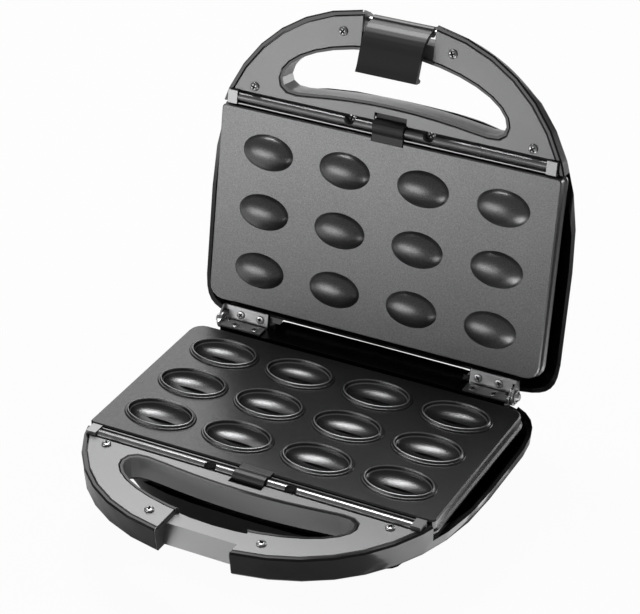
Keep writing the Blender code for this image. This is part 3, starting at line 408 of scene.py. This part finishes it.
for name, node in nodes.items():
    dress(node, finishOf(name))
print("nodes dressed")


# Helpers for the fine pieces, which are drawn with the plate's top at height 0
smoothing = {
    "merge": 0.00002,
    "angle": 32,
    "levels": 2,
    "flat": 0.4,
}


def selectOnly(piece):
    bpy.ops.object.select_all(action="DESELECT")
    piece.select_set(True)
    bpy.context.view_layer.objects.active = piece


def standFor(piece, name):
    piece.name = name + "_look"
    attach(piece, bodyOf[name])
    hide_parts(name)


def shadeByAngle(angle):
    bpy.ops.object.shade_smooth_by_angle(angle=math.radians(angle))


def evenShade(piece, angle):
    # flat faces stay flat beside rounded edges
    selectOnly(piece)
    shadeByAngle(angle)
    weighting = piece.modifiers.new("weighting", "WEIGHTED_NORMAL")
    weighting.keep_sharp = True
    bpy.ops.object.modifier_apply(modifier=weighting.name)


def smoothCopy(name):
    # the nodes come as loose triangles, so they are merged before they are shaded
    selectOnly(nodes[name])
    bpy.ops.object.duplicate()
    piece = bpy.context.object
    piece.parent = None
    bpy.ops.object.mode_set(mode="EDIT")
    bpy.ops.mesh.select_all(action="SELECT")
    bpy.ops.mesh.remove_doubles(threshold=smoothing["merge"])
    bpy.ops.mesh.normals_make_consistent(inside=False)
    bpy.ops.mesh.dissolve_limited(angle_limit=math.radians(smoothing["flat"]))
    bpy.ops.mesh.quads_convert_to_tris(quad_method="BEAUTY", ngon_method="BEAUTY")
    bpy.ops.mesh.select_all(action="DESELECT")
    bpy.ops.mesh.edges_select_sharp(sharpness=math.radians(smoothing["angle"]))
    bpy.ops.transform.edge_crease(value=1)
    bpy.ops.object.mode_set(mode="OBJECT")
    bpy.ops.mesh.customdata_custom_splitnormals_clear()
    rounding = piece.modifiers.new("rounding", "SUBSURF")
    rounding.levels = smoothing["levels"]
    rounding.render_levels = smoothing["levels"]
    bpy.ops.object.modifier_apply(modifier=rounding.name)
    evenShade(piece, smoothing["angle"])
    return piece


def stackRings(rings, segments):
    # a closed solid that grows ring by ring: half length, half width, height
    firstX, firstY, height = rings[0]
    bpy.ops.mesh.primitive_circle_add(vertices=segments, radius=1, fill_type="NGON", location=(0, 0, 0))
    piece = bpy.context.object
    bpy.ops.object.mode_set(mode="EDIT")
    bpy.ops.mesh.select_all(action="SELECT")
    bpy.ops.transform.resize(value=(firstX, firstY, 1), center_override=(0, 0, 0))
    bpy.ops.transform.translate(value=(0, 0, height))
    lastX, lastY = firstX, firstY
    for halfX, halfY, level in rings[1:]:
        bpy.ops.mesh.extrude_region_move(TRANSFORM_OT_translate={"value": (0, 0, level - height)})
        bpy.ops.transform.resize(value=(halfX / lastX, halfY / lastY, 1), center_override=(0, 0, 0))
        lastX, lastY, height = halfX, halfY, level
    bpy.ops.mesh.select_all(action="SELECT")
    bpy.ops.mesh.normals_make_consistent(inside=False)
    bpy.ops.object.mode_set(mode="OBJECT")
    return piece


def applyPlace():
    bpy.ops.object.transform_apply(location=True, rotation=True, scale=True)


def copyTo(piece, place):
    selectOnly(piece)
    bpy.ops.object.duplicate()
    made = bpy.context.object
    made.matrix_world = place @ made.matrix_world
    applyPlace()
    return made


def joinAll(pieces):
    bpy.ops.object.select_all(action="DESELECT")
    for piece in pieces:
        piece.select_set(True)
    bpy.context.view_layer.objects.active = pieces[0]
    bpy.ops.object.join()
    return bpy.context.object


def carve(piece, cutter):
    selectOnly(piece)
    modifier = piece.modifiers.new("carve", "BOOLEAN")
    modifier.operation = "DIFFERENCE"
    modifier.object = cutter
    bpy.ops.object.modifier_apply(modifier=modifier.name)
    bpy.data.objects.remove(cutter)


# Baking plates: the frame's slab, with its cups and domes made again with round rims
plates = {
    "columns": 4,
    "rows": 3,
    "columnPitch": 0.05345,
    "rowPitch": 0.03944,
    "millSize": (0.3, 0.2),
    "millGap": 0.00003,
    "millHeight": 0.01,
    "edgeRound": 0.0005,
    "edgeSegments": 2,
    "edgeAngle": 60,
    "shadeAngle": 20,
}


def gridPlaces():
    for column in range(plates["columns"]):
        for row in range(plates["rows"]):
            x = plates["columnPitch"] * (column - (plates["columns"] - 1) / 2)
            y = plates["rowPitch"] * (row - (plates["rows"] - 1) / 2)
            yield Matrix.Translation((x, y, 0))


def milledPlate(name, place, holed):
    # the slab without what stands on it, and with a hole for each cup
    plate = smoothCopy(name)
    dress(plate, finishOf(name), "plateEdgePaintedHighlight")
    height = plates["millHeight"]
    bpy.ops.mesh.primitive_cube_add(size=1)
    mill = bpy.context.object
    mill.scale = (*plates["millSize"], height)
    mill.location = (0, 0, height / 2 + plates["millGap"])
    applyPlace()
    mill.matrix_world = place
    carve(plate, mill)
    if holed:
        reach = cup["plug"] * 2
        for spot in gridPlaces():
            bpy.ops.mesh.primitive_cylinder_add(vertices=cup["segments"], radius=1, depth=1)
            drill = bpy.context.object
            drill.matrix_world = place @ spot @ Matrix.Diagonal((*cup["hole"], reach, 1))
            carve(plate, drill)
    selectOnly(plate)
    rim = plate.modifiers.new("rim", "BEVEL")
    rim.width = plates["edgeRound"]
    rim.segments = plates["edgeSegments"]
    rim.limit_method = "ANGLE"
    rim.angle_limit = math.radians(plates["edgeAngle"])
    # the rounded edge takes the lighter edge finish: painted highlight
    rim.material = secondFinish
    bpy.ops.object.modifier_apply(modifier=rim.name)
    evenShade(plate, plates["shadeAngle"])
    return plate


cup = {
    "segments": 72,
    "hole": (0.0226, 0.0149),
    "plug": 0.0120,
    # half length, half width, height over the plate
    "rim": (
        (0.0226, 0.0149, -0.0015),
        (0.0237, 0.0159, -0.0003),
        (0.0236, 0.0158, 0.0004),
        (0.0233, 0.0155, 0.0008),
        (0.0228, 0.0151, 0.0009),
        (0.0223, 0.0146, 0.0009),
        (0.0221, 0.0144, 0.0012),
        (0.0219, 0.0142, 0.0019),
        (0.0216, 0.0139, 0.0022),
        (0.0212, 0.0135, 0.0022),
        (0.0209, 0.0132, 0.0018),
        (0.0207, 0.0130, 0.0008),
        (0.0205, 0.0128, 0.0001),
        (0.0198, 0.0122, -0.0003),
    ),
    "edgeHeight": 0.00195,
    "ledge": (-0.0002, 0.0),
    "bowl": (0.0198, 0.0122, 0.0052),
    "bowlStart": 84,
    "bowlSteps": 14,
    "shadeAngle": 50,
}
ridge = {
    "sides": 4,
    "rings": 28,
    "half": (0.0150, 0.0012, 0.0028),
    "drop": 0.0062,
    "shadeAngle": 30,
}


def makeCup():
    rings = [(*cup["rim"][0][:2], -cup["plug"]), *cup["rim"]]
    longHalf, shortHalf, depth = cup["bowl"]
    start = math.radians(cup["bowlStart"])
    lift = cup["rim"][-1][2] + depth * math.cos(start)
    for step in range(1, cup["bowlSteps"]):
        turn = math.radians(cup["bowlStart"] * (1 - step / cup["bowlSteps"]))
        share = math.sin(turn) / math.sin(start)
        rings.append((longHalf * share, shortHalf * share, lift - depth * math.cos(turn)))
    made = stackRings(rings, cup["segments"])
    dress(made, "plateCoat", "plateEdgePaintedHighlight")
    # the rim's top and the ledge ring take the lighter edge finish: painted highlight
    for face in made.data.polygons:
        onLedge = cup["ledge"][0] < face.center.z < cup["ledge"][1]
        if onLedge or face.center.z > cup["edgeHeight"]:
            face.material_index = secondFinish
    shadeByAngle(cup["shadeAngle"])
    return joinAll([made, makeRidge()])


def makeRidge():
    bpy.ops.mesh.primitive_uv_sphere_add(
        segments=ridge["sides"], ring_count=ridge["rings"], radius=1, rotation=(0, math.pi / 2, 0)
    )
    seam = bpy.context.object
    applyPlace()
    seam.scale = ridge["half"]
    seam.location = (0, 0, -ridge["drop"])
    applyPlace()
    shadeByAngle(ridge["shadeAngle"])
    # the seam is dressed darker than the plate around it: painted shade
    dress(seam, "seamPaintedShade")
    return seam


dome = {
    "segments": 56,
    "foot": (0.0170, 0.0112),
    "height": 0.0068,
    "base": 0.0015,
    "fillet": 0.0005,
    "steps": 14,
    "startAngle": 8,
    "endAngle": 87,
    "shadeAngle": 40,
}


def makeDome():
    longHalf, shortHalf = dome["foot"]
    wide = longHalf + dome["fillet"]
    narrow = shortHalf + dome["fillet"]
    rings = [(wide, narrow, -dome["base"]), (wide, narrow, 0)]
    span = dome["endAngle"] - dome["startAngle"]
    for step in range(dome["steps"] + 1):
        turn = math.radians(dome["startAngle"] + span * step / dome["steps"])
        share = math.cos(turn)
        rings.append((longHalf * share, shortHalf * share, dome["height"] * math.sin(turn)))
    made = stackRings(rings, dome["segments"])
    dress(made, "upperPlatePaintedLight", "plateEdgePaintedHighlight")
    shadeByAngle(dome["shadeAngle"])
    return made


def finePlate(name, place, feature, holed):
    pieces = [milledPlate(name, place, holed)]
    for spot in gridPlaces():
        pieces.append(copyTo(feature, place @ spot))
    bpy.data.objects.remove(feature)
    standFor(joinAll(pieces), name)


finePlate("lower_plate", toBase, makeCup(), True)
finePlate("upper_plate", toLid, makeDome(), False)
print("plates made")


# Screws with a cross recess, one kind for each head size; the recess is painted near black as painted
# shade
screwLook = {
    "segments": 28,
    "shank": 0.0012,
    "shankLength": 0.004,
    # share of the head's radius, share of its rise
    "headShares": ((1, 0), (1, 0.35), (0.94, 0.6), (0.8, 0.82), (0.55, 0.95), (0.2, 1)),
    "slotShare": 0.62,
    "slotWidthShare": 0.2,
    "slotDepthShare": 0.75,
    "leastRise": 0.3,  # share of the radius, for the recess of a flat head
    "shadeAngle": 30,
    "turnStep": 37,
    # how many on each half, and how far a head stands up
    "kinds": {"cover_screw": (4, 0.0013), "rail_screw": (2, 0.0017), "hinge_screw": (4, 0.0005)},
}


def makeScrew(radius, rise):
    look = screwLook
    shank = look["shank"]
    rings = [(shank, shank, -rise - look["shankLength"]), (shank, shank, -rise)]
    rings += [(radius * across, radius * across, rise * up - rise) for across, up in look["headShares"]]
    head = stackRings(rings, look["segments"])
    dress(head, "screwSteel", "recessPaintedShade")
    depth = max(rise, radius * look["leastRise"]) * look["slotDepthShare"]
    for turn in (0, math.pi / 2):
        bpy.ops.mesh.primitive_cube_add(size=2)
        slot = bpy.context.object
        slot.scale = (radius * look["slotShare"], radius * look["slotWidthShare"], depth)
        slot.rotation_euler = (0, 0, turn)
        # the recess faces take the near-black finish: painted shade
        dress(slot, "screwSteel", "recessPaintedShade")
        for face in slot.data.polygons:
            face.material_index = secondFinish
        carve(head, slot)
    selectOnly(head)
    shadeByAngle(look["shadeAngle"])
    return head


def placeScrews():
    for kind, (count, rise) in screwLook["kinds"].items():
        low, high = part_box(f"base_{kind}_1")
        head = makeScrew((high.x - low.x) / 2, rise)
        for i in range(1, count + 1):
            low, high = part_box(f"base_{kind}_{i}")
            spot = Vector(((low.x + high.x) / 2, (low.y + high.y) / 2, high.z)) - plateMiddle
            turn = math.radians(screwLook["turnStep"] * i)
            turned = Matrix.Translation(spot) @ Matrix.Rotation(turn, 4, "Z")
            standFor(copyTo(head, toBase @ turned), f"base_{kind}_{i}")
            standFor(copyTo(head, toLid @ turned), f"lid_{kind}_{i}")
        bpy.data.objects.remove(head)


placeScrews()
print("screws made")

# Shells: satin walls in the finger hole and notch, the hole's walls in a brighter satin as painted
# light, and a slit of light at the hinge
shellLook = {
    "holeHalf": 0.079,
    "holeY": (-0.137, -0.086),
    "holeDeep": 0.0165,
    "notchHalf": 0.0243,
    "notchY": -0.118,
    "notchFacing": 0.3,
    "wallTilt": 0.92,
    "slitInset": 0.001,
    "slitHeight": 0.0036,
    "slitLength": 0.05,
    "slitReach": 0.4,
    "slitFall": 33.5,
    "slitDrop": 0.0020,
}


def satinWallsWithPaintedLight(shell, place):
    look = shellLook
    dress(shell, "shellGloss", "coverSatin", "holeSatinPaintedLight")
    back = place.inverted()
    turn = back.to_3x3()
    holeFront, holeBack = look["holeY"]
    middle = Vector((0, (holeFront + holeBack) / 2, 0))
    for face in shell.data.polygons:
        spot = back @ face.center + plateMiddle
        facing = turn @ face.normal
        upright = abs(facing.z) < look["wallTilt"]
        inward = facing.xy.dot(middle.xy - spot.xy) > 0
        high = spot.z > plateMiddle.z - look["holeDeep"]
        inHole = high and abs(spot.x) < look["holeHalf"] and holeFront < spot.y < holeBack
        nearNotch = abs(spot.x) < look["notchHalf"] and spot.y < look["notchY"]
        if nearNotch and facing.y < look["notchFacing"]:
            face.material_index = secondFinish
        # the hole's walls take the brighter satin: painted light
        elif inHole and upright and inward:
            face.material_index = thirdFinish


def cutSlit(shell):
    look = shellLook
    leafLow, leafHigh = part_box("lid_hinge_leaf_left")
    half = min(abs(leafLow.x), abs(leafHigh.x)) - look["slitInset"]
    fall = math.radians(look["slitFall"])
    front = Vector((0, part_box("lid_shell")[0].y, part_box("upper_plate")[0].z - look["slitDrop"]))
    along = Vector((0, math.cos(fall), -math.sin(fall)))
    bpy.ops.mesh.primitive_cube_add(size=1)
    cutter = bpy.context.object
    cutter.scale = (half * 2, look["slitLength"], look["slitHeight"])
    cutter.rotation_euler = (-fall, 0, 0)
    cutter.location = front + along * look["slitLength"] * look["slitReach"]
    carve(shell, cutter)


for name, place in (("base_shell", toBase), ("lid_shell", toLid)):
    shell = smoothCopy(name)
    satinWallsWithPaintedLight(shell, place)
    if name == "lid_shell":
        cutSlit(shell)
    standFor(shell, name)
print("shells made")

for name, node in nodes.items():
    if not node.hide_render:
        standFor(smoothCopy(name), name)
print("smooth copies made")


# Room: soft light from panels and a white surround that only the camera sees
room = {
    "white": (1, 1, 1, 1),
    "surround": 0.16,
    "floorSize": 12,
    "floorDrop": 0.0004,
    "floorWhite": 0.96,
    "floorColour": 0.6,
    "panels": (
        # place, where it aims, size across and up, watts
        ((-0.5, -0.8, 0.12), (0, 0, 0.16), (0.7, 0.32), 2.2),
        ((-0.64, 0.85, 0.68), (0, 0, 0.05), (0.7, 0.6), 2.5),
        ((-0.3, 0.42, 1.15), (0, 0, 0.05), (0.5, 0.3), 9),
        ((0.21, -0.07, 0.008), (0.21, -0.07, 1), (0.14, 0.26), 0.3),
        ((0.75, 0.95, 0.2), (0, 0, 0.06), (0.6, 0.4), 3),
    ),
}


def addPanel(place, aim, size, watts):
    bpy.ops.object.light_add(type="AREA", location=place)
    lamp = bpy.context.object
    lamp.data.shape = "RECTANGLE"
    lamp.data.size, lamp.data.size_y = size
    lamp.data.energy = watts
    lamp.visible_camera = False
    lamp.rotation_euler = (Vector(aim) - Vector(place)).to_track_quat("-Z", "Y").to_euler()


def clearedTree(owner):
    owner.use_nodes = True
    owner.node_tree.nodes.clear()
    return owner.node_tree


def splitRays(tree, kind, factor, others, camera):
    # one shader for the camera's rays, another for all other rays
    mix = addNode(tree, "ShaderNodeMixShader")
    link(tree, factor, mix.inputs["Fac"])
    link(tree, others.outputs[0], mix.inputs[1])
    link(tree, camera.outputs[0], mix.inputs[2])
    out = addNode(tree, kind)
    link(tree, mix.outputs["Shader"], out.inputs["Surface"])


def addSurround(level):
    world = bpy.data.worlds.new("surround")
    bpy.context.scene.world = world
    tree = clearedTree(world)
    rays = addNode(tree, "ShaderNodeLightPath")
    seen = addNode(tree, "ShaderNodeBackground", {"Color": room["white"]})
    light = addNode(tree, "ShaderNodeBackground", {"Color": room["white"], "Strength": level})
    splitRays(tree, "ShaderNodeOutputWorld", rays.outputs["Is Camera Ray"], light, seen)


def addFloor():
    spot = (0, 0, cadBox[0][2] - room["floorDrop"])
    bpy.ops.mesh.primitive_plane_add(size=room["floorSize"], location=spot)
    floor = bpy.context.object
    floor.name = "floor"
    paper = bpy.data.materials.new("floorPaper")
    tree = clearedTree(paper)
    rays = addNode(tree, "ShaderNodeLightPath")
    share = addMath(tree, "MULTIPLY", rays.outputs["Is Camera Ray"], room["floorWhite"])
    white = addNode(tree, "ShaderNodeEmission", {"Color": room["white"]})
    grey = room["floorColour"]
    matte = addNode(tree, "ShaderNodeBsdfDiffuse", {"Color": (grey, grey, grey, 1)})
    splitRays(tree, "ShaderNodeOutputMaterial", share, matte, white)
    floor.data.materials.append(paper)


for panel in room["panels"]:
    addPanel(*panel)
addSurround(room["surround"])
addFloor()
bpy.context.scene.view_settings.view_transform = "Standard"
print("room lit")
